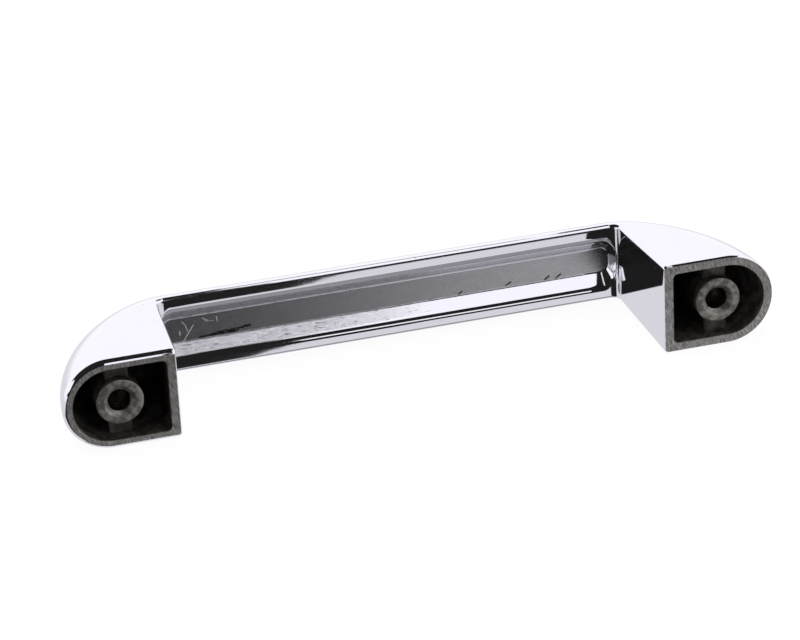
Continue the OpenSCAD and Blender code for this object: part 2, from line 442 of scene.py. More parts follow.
def channel(s, at):
    """The tool that cuts the channel, with the finishes of its walls and floor."""
    bm = bmesh.new()
    loops = [[bm.verts.new(v) for v in loop] for loop in channel_loops(s, at)]
    loft(bm, loops, "channel_wall")
    fill(bm, loops[0], "channel_wall")
    fill(bm, loops[-1], "satin_floor")
    return tidied(bm)


def core(s, at, side):
    """The solid that cores one foot."""
    bm = bmesh.new()
    loops = [[bm.verts.new((side * v.x, v.y, v.z)) for v in loop] for loop in core_loops(s, at)]
    loft(bm, loops, "cast_hollow")
    for end in (loops[0], loops[-1]):
        fill(bm, end, "cast_hollow")
    return tidied(bm)


def revolved(profile, centre, finishes, steps=96):
    """A solid of revolution about Y. profile runs from pole to pole as (radius, y), a finish per stretch."""
    bm = bmesh.new()
    rings = []
    for radius, y in profile:
        if radius == 0:
            rings.append([bm.verts.new((centre, y, 0))])
            continue
        turn = [2 * math.pi * k / steps for k in range(steps)]
        rings.append([bm.verts.new((centre + radius * math.cos(a), y, radius * math.sin(a))) for a in turn])
    for (a, b), finish in zip(zip(rings, rings[1:]), finishes):
        for j in range(steps):
            k = (j + 1) % steps
            corners = [a[j % len(a)], a[k % len(a)], b[k % len(b)], b[j % len(b)]]
            face = bm.faces.new(list(dict.fromkeys(corners)))
            face.material_index = finish_index(finish)
    return tidied(bm)


# How far the bosses and webs run on below the hollow's bottom, and the radius of the webs' edges.
SUNK, WEB_EDGE_R = 0.5 * MM, 0.5 * MM
# Steps round the edges of a boss and a web, and how many stretches of a boss's profile are faced.
BOSS_STEPS, WEB_STEPS, BOSS_FACED = 5, 4, 4


def boss(s, at, side):
    """The round boss in a foot, with a small radius round its faced top."""
    r, edge = s.boss_d / 2, s.boss_edge_r
    top, bottom = -s.boss_recess, -s.core_depth - SUNK
    profile = [(0, top)]
    profile += [(r - edge + edge * math.sin(a), top - edge * (1 - math.cos(a)))
                for a in quarter_turn(BOSS_STEPS)]
    profile += [(r, bottom), (0, bottom)]
    finishes = ["boss_face"] * BOSS_FACED + ["cast_hollow"] * (len(profile) - 1 - BOSS_FACED)
    return revolved(profile, side * at.hole_x, finishes)


def webs(s, at, side):
    """The two webs that tie a boss to the long walls, as one rounded bar right across the foot."""
    edge, reach = WEB_EDGE_R, s.foot_w / 2
    half, top, bottom = s.web_w / 2, -s.web_recess, -s.core_depth - SUNK
    outline = [(half - edge + edge * math.cos(a), top - edge + edge * math.sin(a))
               for a in quarter_turn(WEB_STEPS)]
    outline += [(-x, y) for x, y in reversed(outline)]
    outline += [(-half, bottom), (half, bottom)]
    bm = bmesh.new()
    ends = [[bm.verts.new((side * at.hole_x + x, y, z)) for x, y in outline] for z in (-reach, reach)]
    loft(bm, ends, "cast_hollow")
    for end in ends:
        bm.faces.new(end).material_index = finish_index("cast_hollow")
    return tidied(bm)


# The drill starts this far above the boss face, and below the countersink comes a short lip a hair
# wider than the thread's core, which opens out to the thread's full diameter.
DRILL_OVER, LIP_CLEAR, LIP_DEPTH, LIP_END = 0.4 * MM, 0.05 * MM, 0.1 * MM, 0.4 * MM
DRILL_POINT = math.radians(59)


def hole_cutter(s, thread, at, side):
    """What the drill and the countersink take out, at the thread's major diameter."""
    r, mouth, lip_r = thread.major_d / 2, s.countersink_d / 2, thread.core_d / 2 + LIP_CLEAR
    face, over = -s.boss_recess, DRILL_OVER
    lip, bottom = face - (mouth - lip_r), face - s.tap_depth
    profile = [
        (0, face + over), (mouth + over, face + over), (lip_r, lip), (lip_r, lip - LIP_DEPTH),
        (r, lip - LIP_END), (r, bottom), (0, bottom - r / math.tan(DRILL_POINT)),
    ]
    finishes = ["boss_face"] * 2 + ["tapped_bore"] * 4
    return revolved(profile, side * at.hole_x, finishes)


def linked(name, data):
    """A new object in the scene."""
    item = bpy.data.objects.new(name, data)
    bpy.context.scene.collection.objects.link(item)
    return item


def as_object(bm, name):
    """An object of a built shape, with all the finishes in order."""
    mesh = bpy.data.meshes.new(name)
    bm.to_mesh(mesh)
    bm.free()
    for finish in FINISHES:
        mesh.materials.append(bpy.data.materials[finish])
    return linked(name, mesh)


def plain_mesh(piece, name):
    """Replaces a piece and its modifiers by the plain mesh that they make."""
    graph = bpy.context.evaluated_depsgraph_get()
    mesh = bpy.data.meshes.new_from_object(piece.evaluated_get(graph))
    mesh.name = name
    plain = linked(name, mesh)
    bpy.data.objects.remove(piece)
    return plain


def cut_out(piece, tool):
    """Cuts a tool out of a piece, whose new faces take the tool's finish."""
    cut = piece.modifiers.new("cut", "BOOLEAN")
    cut.object = tool
    cut.operation = "DIFFERENCE"
    cut.solver = "EXACT"
    cut.material_mode = "INDEX"


def add(tree, kind, settings=None, **inputs):
    """Adds one node with its settings and links.

    An input goes by the name of its socket, with _ for a space, or by i and its number. It is a
    plain value, an output, or a node, which gives the first output that it has in use.
    """
    node = tree.nodes.new(kind)
    for key, value in (settings or {}).items():
        setattr(node, key, value)
    for key, value in inputs.items():
        socket = node.inputs[int(key[1:])] if key[1:].isdigit() else node.inputs[key.replace("_", " ")]
        if isinstance(value, bpy.types.Node):
            value = next(output for output in value.outputs if output.enabled)
        if isinstance(value, bpy.types.NodeSocket):
            tree.links.new(value, socket)
        else:
            socket.default_value = value
    return node


# Settings that many nodes share.
SMOOTH = {"interpolation_type": "SMOOTHSTEP"}
COLOURS = {"data_type": "RGBA"}
TIMES, PLUS, MINUS, OVER, LARGER, DOT = (
    {"operation": word} for word in ("MULTIPLY", "ADD", "SUBTRACT", "DIVIDE", "MAXIMUM", "DOT_PRODUCT")
)


def per_mm(size):
    """Texture scale at which one feature is about this many millimetres."""
    return 1 / (size * MM)


def emptied(owner):
    """The node tree of a material or a world, with nothing in it."""
    owner.use_nodes = True
    owner.node_tree.nodes.clear()
    return owner.node_tree


def new_finish(name):
    """The empty tree of a new material, and the object's own coordinates in it."""
    tree = emptied(bpy.data.materials.new(name))
    return tree, add(tree, "ShaderNodeTexCoord").outputs["Object"]


def shade(base, factor):
    """A colour made darker by a factor."""
    return (*[c * factor for c in base[:3]], 1.0)


def polished_chrome(colours):
    """Bright chrome plated over zinc that was buffed on a wheel.

    It mirrors the room and the cloths sharply, with a faint waviness from the buffing and a few
    dark pin holes.
    """
    tree, place = new_finish("polished_chrome")
    chrome = tuple(colours.chrome)
    wave = add(tree, "ShaderNodeTexNoise", Vector=place, Scale=per_mm(9), Detail=1.0, Roughness=0.55)
    grain = add(tree, "ShaderNodeTexNoise", Vector=place, Scale=per_mm(0.5), Detail=2.0, Roughness=0.55)
    spots = add(tree, "ShaderNodeTexNoise", Vector=place, Scale=per_mm(0.7), Detail=1.0, Roughness=0.55)
    pits = add(tree, "ShaderNodeMapRange", SMOOTH, Value=spots, From_Min=0.775, From_Max=0.8)
    tint = add(tree, "ShaderNodeMix", COLOURS, i0=pits, i6=chrome, i7=shade(chrome, 0.35))
    haze = add(tree, "ShaderNodeMapRange", SMOOTH, Value=grain, From_Min=0.3, From_Max=0.7,
               To_Min=0.03, To_Max=0.05)
    dull = add(tree, "ShaderNodeMath", TIMES, i0=pits, i1=0.3)
    rough = add(tree, "ShaderNodeMath", PLUS, i0=haze, i1=dull)
    normal = add(tree, "ShaderNodeBump", Strength=0.25, Distance=0.03 * MM, Height=wave)
    normal = add(tree, "ShaderNodeBump", Strength=0.4, Distance=-0.02 * MM, Height=pits, Normal=normal)
    surface = add(tree, "ShaderNodeBsdfPrincipled", Base_Color=tint, Metallic=1.0, Roughness=rough,
                  Normal=normal)
    add(tree, "ShaderNodeOutputMaterial", Surface=surface)


# Where the finish of the channel changes, in millimetres: along X its walls go from bright to worn and
# its floor darkens under painted shade, which stands in for the dimmer reflection towards +X, and along Y
# the worn wall goes over into the bright lip above it.
WALL_WEAR_X = (-22, 24)
FLOOR_SHADE_X = (-45, 55)
WALL_LIP_Y = (-29.5, -29.0)


def channel_wall(colours):
    """Chrome plated over the as-cast walls of the channel, which no wheel reaches.

    Long streaks from the metal's flow in the die and dark flecks break the mirror up. The -X end
    and the rounded lip stay as bright as polished plate.
    """
    tree, place = new_finish("channel_wall")
    chrome = tuple(colours.chrome)
    long = add(tree, "ShaderNodeMapping", Vector=place, Scale=(1 / 11, 1, 1))
    streaks = add(tree, "ShaderNodeTexNoise", Vector=long, Scale=per_mm(0.24), Detail=5.0, Roughness=0.75)
    short = add(tree, "ShaderNodeMapping", Vector=place, Scale=(1 / 6, 1, 1))
    specks = add(tree, "ShaderNodeTexNoise", Vector=short, Scale=per_mm(0.4), Detail=4.0, Roughness=0.65)
    flecks = add(tree, "ShaderNodeMapRange", SMOOTH, Value=specks, From_Min=0.6, From_Max=0.68)
    apart = add(tree, "ShaderNodeSeparateXYZ", Vector=place).outputs
    to_end = add(tree, "ShaderNodeMapRange", SMOOTH, Value=apart["X"], From_Min=WALL_WEAR_X[0] * MM,
                 From_Max=WALL_WEAR_X[1] * MM, To_Min=0.04, To_Max=1.0)
    to_lip = add(tree, "ShaderNodeMapRange", SMOOTH, Value=apart["Y"], From_Min=WALL_LIP_Y[0] * MM,
                 From_Max=WALL_LIP_Y[1] * MM, To_Min=1.0, To_Max=0.0)
    worn = add(tree, "ShaderNodeMath", TIMES, i0=to_end, i1=to_lip)
    dark = add(tree, "ShaderNodeMath", TIMES, i0=flecks, i1=worn)
    tint = add(tree, "ShaderNodeMix", COLOURS, i0=dark, i6=chrome, i7=shade(chrome, 0.3))
    streaked = add(tree, "ShaderNodeMapRange", SMOOTH, Value=streaks, From_Min=0.38, From_Max=0.56,
                   To_Min=0.34, To_Max=0.0)
    streaked = add(tree, "ShaderNodeMath", TIMES, i0=streaked, i1=worn)
    tint = add(tree, "ShaderNodeMix", COLOURS, i0=streaked, i6=tint, i7=shade(chrome, 0.45))
    haze = add(tree, "ShaderNodeMapRange", SMOOTH, Value=streaks, From_Min=0.3, From_Max=0.7,
               To_Min=0.14, To_Max=0.03)
    haze = add(tree, "ShaderNodeMath", TIMES, i0=worn, i1=haze)
    rough = add(tree, "ShaderNodeMath", PLUS, i0=0.03, i1=haze)
    flow = add(tree, "ShaderNodeMath", TIMES, i0=streaks, i1=worn)
    normal = add(tree, "ShaderNodeBump", Strength=0.6, Distance=0.12 * MM, Height=flow)
    normal = add(tree, "ShaderNodeBump", Strength=0.5, Distance=-0.03 * MM, Height=dark, Normal=normal)
    surface = add(tree, "ShaderNodeBsdfPrincipled", Base_Color=tint, Metallic=1.0, Roughness=rough,
                  Normal=normal)
    add(tree, "ShaderNodeOutputMaterial", Surface=surface)


def mark_group():
    """A node group that is 1 along a straight mark between two points and 0 away from it."""
    tree = bpy.data.node_groups.new("mark", "ShaderNodeTree")
    for name in ("Place", "Start", "End"):
        tree.interface.new_socket(name=name, in_out="INPUT", socket_type="NodeSocketVector")
    tree.interface.new_socket(name="Width", in_out="INPUT", socket_type="NodeSocketFloat")
    tree.interface.new_socket(name="Mark", in_out="OUTPUT", socket_type="NodeSocketFloat")
    given = add(tree, "NodeGroupInput").outputs
    along = add(tree, "ShaderNodeVectorMath", MINUS, i0=given["End"], i1=given["Start"])
    away = add(tree, "ShaderNodeVectorMath", MINUS, i0=given["Place"], i1=given["Start"])
    dot = add(tree, "ShaderNodeVectorMath", DOT, i0=away, i1=along)
    square = add(tree, "ShaderNodeVectorMath", DOT, i0=along, i1=along)
    share = add(tree, "ShaderNodeMath", {"operation": "DIVIDE", "use_clamp": True}, i0=dot, i1=square)
    scaled = add(tree, "ShaderNodeVectorMath", {"operation": "SCALE"}, i0=along, Scale=share)
    rest = add(tree, "ShaderNodeVectorMath", MINUS, i0=away, i1=scaled)
    distance = add(tree, "ShaderNodeVectorMath", {"operation": "LENGTH"}, i0=rest)
    widths = add(tree, "ShaderNodeMath", OVER, i0=distance, i1=given["Width"])
    mark = add(tree, "ShaderNodeMapRange", SMOOTH, Value=widths, From_Min=0.3, From_Max=1.0,
               To_Min=1.0, To_Max=0.0)
    add(tree, "NodeGroupOutput", Mark=mark)
    return tree


def marks(tree, place, lines, rough_mm):
    """Adds up straight marks seen along Y, whose edges wander by rough_mm."""
    group = bpy.data.node_groups.get("mark") or mark_group()
    wander = add(tree, "ShaderNodeTexNoise", Vector=place, Scale=per_mm(0.7), Detail=3.0)
    shift = add(tree, "ShaderNodeVectorMath", {"operation": "MULTIPLY_ADD"}, i0=wander.outputs["Color"],
                i1=(rough_mm * MM,) * 3, i2=(-rough_mm * MM / 2,) * 3)
    moved = add(tree, "ShaderNodeVectorMath", PLUS, i0=place, i1=shift)
    flat = add(tree, "ShaderNodeVectorMath", TIMES, i0=moved, i1=(1, 0, 1))
    total = None
    for x0, z0, x1, z1, width in lines:
        one = add(tree, "ShaderNodeGroup", {"node_tree": group}, Place=flat, Start=(x0 * MM, 0, z0 * MM),
                  End=(x1 * MM, 0, z1 * MM), Width=width * MM)
        total = one if total is None else add(tree, "ShaderNodeMath", LARGER, i0=total, i1=one)
    return total


# Marks on the channel's floor, each as the X and Z of its start and end and its width, in millimetres.
FLOOR_SCRATCHES = [
    (48.9, 1.9, 48.2, 1.0, 0.14), (48.2, 1.0, 47.7, -0.6, 0.14),
    (48.8, -3.0, 46.3, 0.7, 0.2), (49.6, -0.4, 49.6, -1.3, 0.16),
    (44.0, 2.0, 42.9, 1.3, 0.22), (43.6, 1.2, 41.6, 1.0, 0.16), (40.8, 1.9, 40.6, 0.7, 0.14),
]
FLOOR_GOUGES = [
    (45.0, -2.9, 41.0, -2.6, 0.75), (41.6, -2.4, 36.6, -2.3, 0.8), (37.2, -2.1, 33.2, -1.7, 0.5),
]
FLOOR_NICKS = [
    (-16.6, -3.0, -17.6, -2.2, 0.3), (-28.4, -2.5, -29.6, -1.9, 0.28),
    (-37.8, -2.9, -38.9, -2.0, 0.36), (-40.6, -2.9, -41.8, -2.0, 0.32),
]


def satin_floor(colours):
    """Satin plate on the channel's floor, which no wheel reaches either.

    It has a soft sheen, mottled like a casting's skin, and is greyer towards +X under painted shade
    that stands in for the dimmer reflection there, with bright scratches, a dark gouged patch and dark
    nicks along one edge. The grain is drawn coarser than a plate's, so that it shows.
    """
    tree, place = new_finish("satin_floor")
    satin = tuple(colours.satin)
    grain = add(tree, "ShaderNodeTexNoise", Vector=place, Scale=per_mm(0.22), Detail=3.0, Roughness=0.7)
    long = add(tree, "ShaderNodeMapping", Vector=place, Scale=(1 / 2.5, 1, 1))
    cloud = add(tree, "ShaderNodeTexNoise", Vector=long, Scale=per_mm(2.2), Detail=4.0, Roughness=0.6)
    x = add(tree, "ShaderNodeSeparateXYZ", Vector=place).outputs["X"]
    # Painted shade: the share of the floor's own tint falls towards +X, for the dimmer reflection there.
    unshaded_share = add(tree, "ShaderNodeMapRange", SMOOTH, Value=x, From_Min=FLOOR_SHADE_X[0] * MM,
                From_Max=FLOOR_SHADE_X[1] * MM, To_Min=0.55, To_Max=0.0)
    mottle = add(tree, "ShaderNodeMapRange", SMOOTH, Value=cloud, From_Min=0.35, From_Max=0.65)
    tint = add(tree, "ShaderNodeMix", COLOURS, i0=mottle, i6=shade(satin, 0.8), i7=satin)
    # Mixes in the painted shade, a dark grey that grows towards +X.
    tint = add(tree, "ShaderNodeMix", COLOURS, i0=unshaded_share, i6=shade(satin, 0.25), i7=tint)
    scratches = marks(tree, place, FLOOR_SCRATCHES, 0.12)
    patch = marks(tree, place, FLOOR_GOUGES, 0.9)
    nicks = marks(tree, place, FLOOR_NICKS, 0.2)
    short = add(tree, "ShaderNodeMapping", Vector=place, Scale=(1 / 2, 1, 1))
    tears = add(tree, "ShaderNodeTexNoise", Vector=short, Scale=per_mm(0.45), Detail=4.0, Roughness=0.55)
    torn = add(tree, "ShaderNodeMapRange", SMOOTH, Value=tears, From_Min=0.36, From_Max=0.46)
    gouges = add(tree, "ShaderNodeMath", TIMES, i0=patch, i1=torn)
    dark = add(tree, "ShaderNodeMath", LARGER, i0=gouges, i1=nicks)
    tint = add(tree, "ShaderNodeMix", COLOURS, i0=scratches, i6=tint, i7=tuple(colours.chrome))
    tint = add(tree, "ShaderNodeMix", COLOURS, i0=dark, i6=tint, i7=tuple(colours.grime))
    normal = add(tree, "ShaderNodeBump", Strength=0.5, Distance=0.035 * MM, Height=grain)
    normal = add(tree, "ShaderNodeBump", Strength=0.35, Distance=0.05 * MM, Height=cloud, Normal=normal)
    normal = add(tree, "ShaderNodeBump", Strength=0.8, Distance=-0.06 * MM, Height=scratches, Normal=normal)
    normal = add(tree, "ShaderNodeBump", Strength=0.9, Distance=-0.15 * MM, Height=gouges, Normal=normal)
    rough = add(tree, "ShaderNodeMapRange", SMOOTH, Value=cloud, From_Min=0.3, From_Max=0.7,
                To_Min=0.2, To_Max=0.28)
    surface = add(tree, "ShaderNodeBsdfPrincipled", Base_Color=tint, Metallic=1.0, Roughness=rough,
                  Normal=normal)
    add(tree, "ShaderNodeOutputMaterial", Surface=surface)


# How far the belt's scratches are turned from the handle's length.
BELT_ANGLE = math.radians(72)


def ground_rim(colours):
    """Bare zinc ground flat on a belt: dull and pale, with dark scratches across the foot and stains.

    The scratches are drawn coarser than a belt's, so that they show.
    """
    tree, place = new_finish("ground_rim")
    ground = tuple(colours.ground)
    turned = add(tree, "ShaderNodeMapping", Vector=place, Rotation=(0, BELT_ANGLE, 0))
    long = add(tree, "ShaderNodeMapping", Vector=turned, Scale=(1 / 12, 1, 1))
    lines = add(tree, "ShaderNodeTexNoise", Vector=long, Scale=per_mm(0.16), Detail=4.0, Roughness=0.65)
    blots = add(tree, "ShaderNodeTexNoise", Vector=place, Scale=per_mm(1.8), Detail=3.0, Roughness=0.55)
    ridges = add(tree, "ShaderNodeMapRange", SMOOTH, Value=lines, From_Min=0.4, From_Max=0.6)
    tint = add(tree, "ShaderNodeMix", COLOURS, i0=ridges, i6=shade(ground, 0.34), i7=ground)
    stain = add(tree, "ShaderNodeMapRange", SMOOTH, Value=blots, From_Min=0.45, From_Max=0.7,
                To_Min=0.0, To_Max=0.6)
    tint = add(tree, "ShaderNodeMix", COLOURS, i0=stain, i6=tint, i7=shade(ground, 0.45))
    rough = add(tree, "ShaderNodeMapRange", SMOOTH, Value=lines, From_Min=0.3, From_Max=0.7,
                To_Min=0.55, To_Max=0.4)
    normal = add(tree, "ShaderNodeBump", Strength=0.8, Distance=0.06 * MM, Height=lines)
    surface = add(tree, "ShaderNodeBsdfPrincipled", Base_Color=tint, Metallic=1.0, Roughness=rough,
                  Normal=normal)
    add(tree, "ShaderNodeOutputMaterial", Surface=surface)


def cast_hollow(colours):
    """As-cast zinc inside the feet, which the plating barely reached: dark, patchy and dull."""
    tree, place = new_finish("cast_hollow")
    cast = tuple(colours.cast)
    grain = add(tree, "ShaderNodeTexNoise", Vector=place, Scale=per_mm(0.6), Detail=4.0, Roughness=0.55)
    blots = add(tree, "ShaderNodeTexNoise", Vector=place, Scale=per_mm(2.5), Detail=3.0, Roughness=0.55)
    bare = add(tree, "ShaderNodeMapRange", SMOOTH, Value=blots, From_Min=0.42, From_Max=0.62)
    tint = add(tree, "ShaderNodeMix", COLOURS, i0=bare, i6=shade(cast, 0.45), i7=cast)
    normal = add(tree, "ShaderNodeBump", Strength=0.7, Distance=0.15 * MM, Height=grain)
    surface = add(tree, "ShaderNodeBsdfPrincipled", Base_Color=tint, Metallic=0.7, Roughness=0.5,
                  Normal=normal)
    add(tree, "ShaderNodeOutputMaterial", Surface=surface)


def boss_face(colours):
    """Zinc faced by a cutter and left bare: matt grey, with a fine grain and darker stains.

    The grain is drawn coarser than a cutter's marks, so that it shows.
    """
    tree, place = new_finish("boss_face")
    boss_zinc = tuple(colours.boss)
    grain = add(tree, "ShaderNodeTexNoise", Vector=place, Scale=per_mm(0.3), Detail=3.0, Roughness=0.55)
    blots = add(tree, "ShaderNodeTexNoise", Vector=place, Scale=per_mm(1.4), Detail=3.0, Roughness=0.55)
    stain = add(tree, "ShaderNodeMapRange", SMOOTH, Value=blots, From_Min=0.4, From_Max=0.62)
    tint = add(tree, "ShaderNodeMix", COLOURS, i0=stain, i6=boss_zinc, i7=shade(boss_zinc, 0.5))
    normal = add(tree, "ShaderNodeBump", Strength=0.7, Distance=0.06 * MM, Height=grain)
    surface = add(tree, "ShaderNodeBsdfPrincipled", Base_Color=tint, Metallic=1.0, Roughness=0.58,
                  Normal=normal)
    add(tree, "ShaderNodeOutputMaterial", Surface=surface)


def tapped_bore(colours):
    """Zinc cut by a tap, smoother than the hollow round it, so the thread glints in the dark."""
    tree, place = new_finish("tapped_bore")
    cut_zinc = tuple(colours.boss)
    grain = add(tree, "ShaderNodeTexNoise", Vector=place, Scale=per_mm(0.4), Detail=2.0, Roughness=0.55)
    bright = add(tree, "ShaderNodeMapRange", SMOOTH, Value=grain, From_Min=0.35, From_Max=0.65)
    tint = add(tree, "ShaderNodeMix", COLOURS, i0=bright, i6=shade(cut_zinc, 0.6), i7=cut_zinc)
    surface = add(tree, "ShaderNodeBsdfPrincipled", Base_Color=tint, Metallic=1.0, Roughness=0.28)
    add(tree, "ShaderNodeOutputMaterial", Surface=surface)


class HANDLE_OT_finishes(bpy.types.Operator):
    """Makes the handle's materials."""

    bl_idname = "handle.finishes"
    bl_label = "Finishes"

    def execute(self, context):
        colours = context.scene.handle_finish
        for finish in (
            polished_chrome, satin_floor, channel_wall, ground_rim, cast_hollow, boss_face, tapped_bore,
        ):
            finish(colours)
        return {"FINISHED"}


# Edges that turn by more than this stay sharp.
CASTING_SHARP, THREAD_SHARP = math.radians(24), math.radians(30)
# Where the thread starts below the countersink, and how far its ridge is sunk in the bore's wall.
THREAD_LEAD, RIDGE_SUNK = 0.5 * MM, 0.04 * MM


class HANDLE_OT_casting(bpy.types.Operator):
    """Builds the casting with its channel, cored feet, bosses and webs."""

    bl_idname = "handle.casting"
    bl_label = "Casting"

    def execute(self, context):
        s, thread = context.scene.handle_sizes, context.scene.handle_thread
        at = Layout(s)
        piece = as_object(cast_form(s, at), "casting_blank")
        tools = [as_object(channel(s, at), "channel")]
        cut_out(piece, tools[0])
        for side in (1, -1):
            hollow = as_object(core(s, at, side), "core")
            for standing in (boss(s, at, side), webs(s, at, side)):
                tools.append(as_object(standing, "standing"))
                cut_out(hollow, tools[-1])
            tools += [hollow, as_object(hole_cutter(s, thread, at, side), "drill")]
            for tool in tools[-2:]:
                cut_out(piece, tool)
        piece = plain_mesh(piece, "handle_casting")
        for tool in tools:
            bpy.data.objects.remove(tool)
        mesh = piece.data
        mesh.shade_smooth()
        mesh.set_sharp_from_angle(angle=CASTING_SHARP)
        smooth = piece.modifiers.new("even_normals", "WEIGHTED_NORMAL")
        smooth.keep_sharp = True
        piece = plain_mesh(piece, "handle_casting")
        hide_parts(NODE)
        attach(piece, BODY)
        return {"FINISHED"}


def thread_tree(material):
    """Node tree that winds a ridge up each hole: a spiral swept with the ridge's section, placed twice."""
    tree = bpy.data.node_groups.new("internal_thread", "GeometryNodeTree")
    for name in (
        "Core Radius", "Major Radius", "Pitch", "Turns", "Crest Width", "Root Width", "Hole Spacing",
        "Mouth Y",
    ):
        tree.interface.new_socket(name=name, in_out="INPUT", socket_type="NodeSocketFloat")
    tree.interface.new_socket(name="Steps", in_out="INPUT", socket_type="NodeSocketInt")
    tree.interface.new_socket(name="Geometry", in_out="OUTPUT", socket_type="NodeSocketGeometry")
    given = add(tree, "NodeGroupInput").outputs
    depth = add(tree, "ShaderNodeMath", MINUS, i0=given["Major Radius"], i1=given["Core Radius"])
    height = add(tree, "ShaderNodeMath", TIMES, i0=given["Pitch"], i1=given["Turns"])
    both = add(tree, "ShaderNodeMath", PLUS, i0=given["Major Radius"], i1=given["Core Radius"])
    middle = add(tree, "ShaderNodeMath", TIMES, i0=both, i1=0.5)
    spiral = add(tree, "GeometryNodeCurveSpiral", Resolution=given["Steps"], Rotations=given["Turns"],
                 Start_Radius=middle, End_Radius=middle, Height=height)
    upright = add(tree, "GeometryNodeSetCurveNormal", {"mode": "Z_UP"}, Curve=spiral)
    ridge = add(tree, "GeometryNodeCurvePrimitiveQuadrilateral", {"mode": "TRAPEZOID"}, Height=depth,
                Bottom_Width=given["Root Width"], Top_Width=given["Crest Width"], Offset=0.0)
    turned = add(tree, "GeometryNodeTransform", Geometry=ridge, Rotation=(0, 0, math.radians(90)))
    swept = add(tree, "GeometryNodeCurveToMesh", Curve=upright, Profile_Curve=turned, Fill_Caps=True)
    laid = add(tree, "GeometryNodeTransform", Geometry=swept, Rotation=(math.radians(90), 0, 0))
    half = add(tree, "ShaderNodeMath", TIMES, i0=given["Hole Spacing"], i1=-0.5)
    start = add(tree, "ShaderNodeCombineXYZ", X=half, Y=given["Mouth Y"])
    step = add(tree, "ShaderNodeCombineXYZ", X=given["Hole Spacing"])
    holes = add(tree, "GeometryNodeMeshLine", {"mode": "OFFSET"}, Count=2, Start_Location=start, Offset=step)
    placed = add(tree, "GeometryNodeInstanceOnPoints", Points=holes, Instance=laid)
    real = add(tree, "GeometryNodeRealizeInstances", Geometry=placed)
    painted = add(tree, "GeometryNodeSetMaterial", Geometry=real, Material=material)
    add(tree, "NodeGroupOutput", Geometry=painted)
    return tree


def give(modifier, tree, name, value):
    """Sets a modifier's input by the identifier of its socket."""
    for item in tree.interface.items_tree:
        if item.item_type == "SOCKET" and item.in_out == "INPUT" and item.name == name:
            modifier[item.identifier] = value
            return
    raise RuntimeError(f"the tree has no input named {name}")


class HANDLE_OT_threads(bpy.types.Operator):
    """Winds the internal thread of both tapped holes."""

    bl_idname = "handle.threads"
    bl_label = "Threads"

    def execute(self, context):
        s, thread = context.scene.handle_sizes, context.scene.handle_thread
        tree = thread_tree(bpy.data.materials["tapped_bore"])
        carrier = linked("threads", bpy.data.meshes.new("threads"))
        wind = carrier.modifiers.new("wind", "NODES")
        wind.node_group = tree
        first = (s.countersink_d - thread.core_d) / 2 + THREAD_LEAD
        turns = (s.tap_depth - first - thread.pitch) / thread.pitch
        values = {
            "Core Radius": thread.core_d / 2, "Major Radius": thread.major_d / 2 + RIDGE_SUNK,
            "Pitch": thread.pitch, "Turns": turns, "Crest Width": thread.crest_w,
            "Root Width": thread.root_w, "Hole Spacing": s.hole_spacing,
            "Mouth Y": -s.boss_recess - first, "Steps": thread.steps,
        }
        for name, value in values.items():
            give(wind, tree, name, value)
        piece = plain_mesh(carrier, "tapped_threads")
        piece.data.shade_smooth()
        piece.data.set_sharp_from_angle(angle=THREAD_SHARP)
        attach(piece, BODY)
        return {"FINISHED"}


def stage_mesh(name, corners, faces, material):
    """A mesh of the stage, which is no piece of the handle."""
    mesh = bpy.data.meshes.new(name)
    mesh.from_pydata([Vector(c) for c in corners], [], faces)
    mesh.materials.append(material)
    obj = linked(name, mesh)
    return obj


# The share of its own white in what the camera sees of the paper, half the paper's size, and the gap
# between the paper and the handle.
PAPER_GLOW, PAPER_HALF, PAPER_GAP = 0.93, 6.0, 0.02 * MM


def paper_floor(colours):
    """White paper. What the camera sees of it is mostly its own white, with a soft shadow."""
    material = bpy.data.materials.new("paper_floor")
    tree = emptied(material)
    diffuse = add(tree, "ShaderNodeBsdfDiffuse", Color=tuple(colours.paper))
    glow = add(tree, "ShaderNodeEmission", Color=tuple(colours.backdrop), Strength=1.0)
    seen = add(tree, "ShaderNodeLightPath").outputs["Is Camera Ray"]
    share = add(tree, "ShaderNodeMath", TIMES, i0=seen, i1=PAPER_GLOW)
    both = add(tree, "ShaderNodeMixShader", i0=share, i1=diffuse, i2=glow)
    add(tree, "ShaderNodeOutputMaterial", Surface=both)
    return material


# The cloths that the chrome reflects, far out round the handle. Each row is an angle about the X axis,
# in degrees from +Y over +Z, and the stretch of the cloth along X, as the X of a direction.
BLACK_CLOTHS = {
    "cloth_front": [(-80, 0.0, 0.86), (-45, -0.1, 0.86), (-34, -0.15, 0.86), (-29, -0.178, 0.86),
                    (-26, -0.2, 0.86), (-22, -0.222, 0.86), (-20, -0.235, 0.86), (-10, -0.195, 0.86),
                    (28, -0.185, 0.86)],
    "cloth_mid": [(28, -0.185, -0.145), (58, -0.185, -0.145)],
    "cloth_right": [(28, -0.04, 0.86), (58, -0.04, 0.86)],
    "cloth_high": [(58, -0.18, 0.86), (74, -0.17, 0.86), (80, -0.165, 0.86), (138, -0.165, 0.86)],
    "cloth_low": [(-20, -0.6, -0.19), (-7, -0.6, -0.185)],
    "cloth_level": [(7, -0.6, -0.185), (34, -0.6, -0.185)],
    "cloth_over": [(100, -0.27, -0.165), (116, -0.27, -0.165)],
    "cloth_left": [(90, -0.6, -0.28), (138, -0.6, -0.28)],
}
# A grey card of painted shade below the handle, with rows as above: the chrome reflects it where the paper
# under the handle lies in shade.
PAINTED_SHADE_BELOW = [(-92, -0.6, 0.3), (-46, -0.6, 0.3)]
# How far away the cloths and the grey card of painted shade hang, and the faces across them and from one row
# to the next.
CLOTH_AWAY, CLOTH_ACROSS, CLOTH_STEPS = 3.0, 24, 6
# The corners of a low dark strip that stands before the feet.
KERB = [(-0.3, 0.06, -0.0002), (0.3, 0.06, -0.0002), (0.3, 0.06, 0.02), (-0.3, 0.06, 0.02)]


